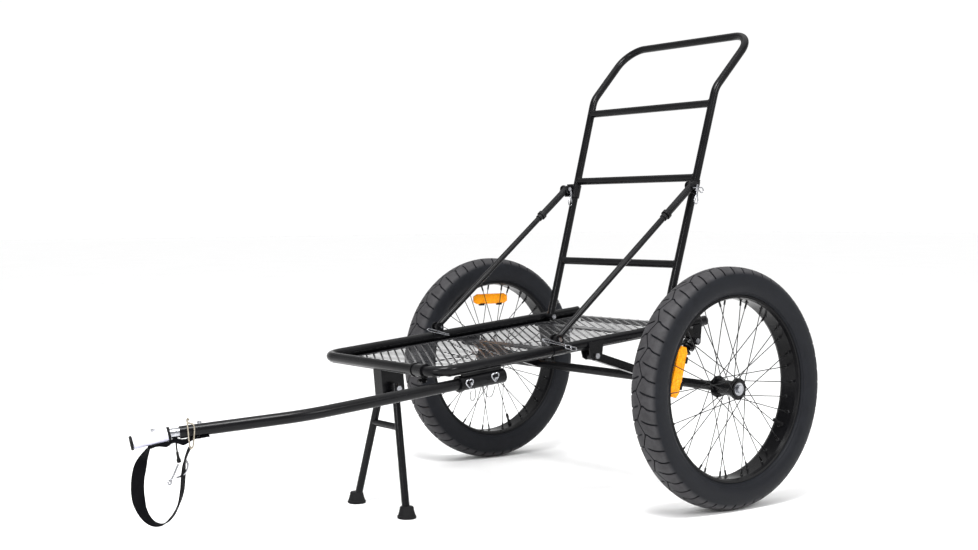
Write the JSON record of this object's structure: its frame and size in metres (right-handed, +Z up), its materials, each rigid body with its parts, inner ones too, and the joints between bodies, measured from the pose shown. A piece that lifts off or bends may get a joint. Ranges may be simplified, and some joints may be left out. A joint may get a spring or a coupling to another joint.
{
  "type": "folding game cart",
  "caption": "Sprung folding field cart with an expanded-metal bed, spoked balloon-tyred wheels, braced push handle, kickstand and offset tow bar.",
  "frame": {"origin": "middle of the object's box on the ground, leaving out the strap and lanyards", "axes": "+X from the tow hitch to the push handle, +Z up, the tow bar's receiver on the -Y side"},
  "size_m": [1.6024, 0.9428, 1.1009],
  "materials": {
    "black_frame": "gloss black powder coat",
    "deck_mesh": "satin black coated expanded steel",
    "black_fitting": "satin black",
    "black_rubber": "matte",
    "tyre_rubber": "matte tread, satin sidewall",
    "black_rim": "gloss black",
    "spoke_steel": "black coated steel",
    "bearing_steel": "ground",
    "amber_reflector": "clear amber, prismatic",
    "bright_fasteners": "zinc plated",
    "shock_black": "gloss black",
    "shock_bright": "polished",
    "white_sleeve": "gloss white",
    "webbing": "woven webbing",
    "lanyard_wire": "coated wire"
  },
  "bodies": {
    "frame": {"bed_frame_tube": "black_frame", "rail_end_caps": "black_rubber", "bed_deck": "deck_mesh", "deck_crossbars": "deck_mesh", "arm_brackets": "black_frame", "shock_brackets": "black_frame", "frame_bolts": "bright_fasteners", "front_clamp": "black_fitting", "kickstand_bracket": "black_frame", "brace_clevises": "black_fitting", "lock_pins": "bright_fasteners", "lock_clips": "bright_fasteners", "tow_receiver": "black_frame", "tow_bar": "black_frame", "hitch_stub": "bright_fasteners", "hitch_sleeve": "white_sleeve", "hitch_rings": "black_rubber", "hitch_pins": "bright_fasteners", "snap_hook": "bright_fasteners", "tow_strap": "webbing", "strap_gather": "webbing", "hitch_tether": "webbing", "receiver_lanyard_front": "lanyard_wire", "receiver_lanyard_rear": "lanyard_wire"},
    "suspension": {"axle_beam": "black_frame", "swing_arm_near": "black_frame", "swing_arm_far": "black_frame", "stub_axles": "bearing_steel", "axle_fasteners": "bright_fasteners", "shock_lugs": "black_frame"},
    "wheel_near": {"tyre_near": "tyre_rubber", "rim_near": "black_rim", "spokes_near": "spoke_steel", "hub_near": "black_rim", "wheel_bearings_near": "bearing_steel", "reflector_near": "amber_reflector", "valve_stem_near": "black_rubber"},
    "wheel_far": {"tyre_far": "tyre_rubber", "rim_far": "black_rim", "spokes_far": "spoke_steel", "hub_far": "black_rim", "wheel_bearings_far": "bearing_steel", "reflector_far": "amber_reflector", "valve_stem_far": "black_rubber"},
    "shock_upper_near": {"shock_body_near": "shock_black", "shock_spring_near": "shock_black"},
    "shock_upper_far": {"shock_body_far": "shock_black", "shock_spring_far": "shock_black"},
    "shock_lower_near": {"shock_rod_near": "shock_bright"},
    "shock_lower_far": {"shock_rod_far": "shock_bright"},
    "handle": {"handle_frame": "black_frame", "handle_rungs": "black_frame", "brace_saddles": "black_fitting", "saddle_pins": "bright_fasteners"},
    "brace_near": {"brace_sleeve_near": "black_fitting", "brace_rod_near": "black_frame"},
    "brace_far": {"brace_sleeve_far": "black_fitting", "brace_rod_far": "black_frame"},
    "kickstand": {"kickstand_legs": "black_frame", "kickstand_feet": "black_rubber"}
  },
  "joints": [
    {"name": "suspension_travel", "type": "hinge", "parent": "frame", "child": "suspension", "pos_m": [0.25976, 0, 0.336], "axis": [0, -1, 0], "range_deg": [0, 6], "stiffness_Nm_per_rad": 1200, "springref_deg": -2.86, "deforming": ["shock_spring_near", "shock_spring_far"]},
    {"name": "handle_fold", "type": "hinge", "parent": "frame", "child": "handle", "pos_m": [0.50176, 0, 0.38799], "axis": [0, -1, 0], "range_deg": [0, 98]},
    {"name": "kickstand_fold", "type": "hinge", "parent": "frame", "child": "kickstand", "pos_m": [-0.13524, 0, 0.272], "axis": [0, -1, 0], "range_deg": [0, 85]},
    {"name": "wheel_near_spin", "type": "hinge", "parent": "suspension", "child": "wheel_near", "pos_m": [0.47676, -0.4325, 0.2675], "axis": [0, 1, 0], "continuous": true},
    {"name": "shock_near_top_pivot", "type": "hinge", "parent": "frame", "child": "shock_upper_near", "pos_m": [0.57076, -0.23, 0.353], "axis": [0, -1, 0], "range_deg": [-12, 1]},
    {"name": "shock_near_foot_pivot", "type": "hinge", "parent": "suspension", "child": "shock_lower_near", "pos_m": [0.49126, -0.23, 0.281], "axis": [0, -1, 0], "range_deg": [-18, 2]},
    {"name": "brace_near_fold", "type": "hinge", "parent": "handle", "child": "brace_near", "pos_m": [0.57326, -0.228, 0.718], "axis": [0, -1, 0], "range_deg": [-133, 0]},
    {"name": "wheel_far_spin", "type": "hinge", "parent": "suspension", "child": "wheel_far", "pos_m": [0.47676, 0.4325, 0.2675], "axis": [0, 1, 0], "continuous": true},
    {"name": "shock_far_top_pivot", "type": "hinge", "parent": "frame", "child": "shock_upper_far", "pos_m": [0.57076, 0.23, 0.353], "axis": [0, -1, 0], "range_deg": [-12, 1]},
    {"name": "shock_far_foot_pivot", "type": "hinge", "parent": "suspension", "child": "shock_lower_far", "pos_m": [0.49126, 0.23, 0.281], "axis": [0, -1, 0], "range_deg": [-18, 2]},
    {"name": "brace_far_fold", "type": "hinge", "parent": "handle", "child": "brace_far", "pos_m": [0.57326, 0.228, 0.718], "axis": [0, -1, 0], "range_deg": [-133, 0]}
  ],
  "couplings": [
    {"joint": "shock_near_top_pivot", "follows": "suspension_travel", "ratio": -1.6375},
    {"joint": "shock_near_foot_pivot", "follows": "suspension_travel", "ratio": -2.6375},
    {"joint": "brace_near_fold", "follows": "handle_fold", "ratio": -1.3469},
    {"joint": "shock_far_top_pivot", "follows": "suspension_travel", "ratio": -1.6375},
    {"joint": "shock_far_foot_pivot", "follows": "suspension_travel", "ratio": -2.6375},
    {"joint": "brace_far_fold", "follows": "handle_fold", "ratio": -1.3469}
  ]
}
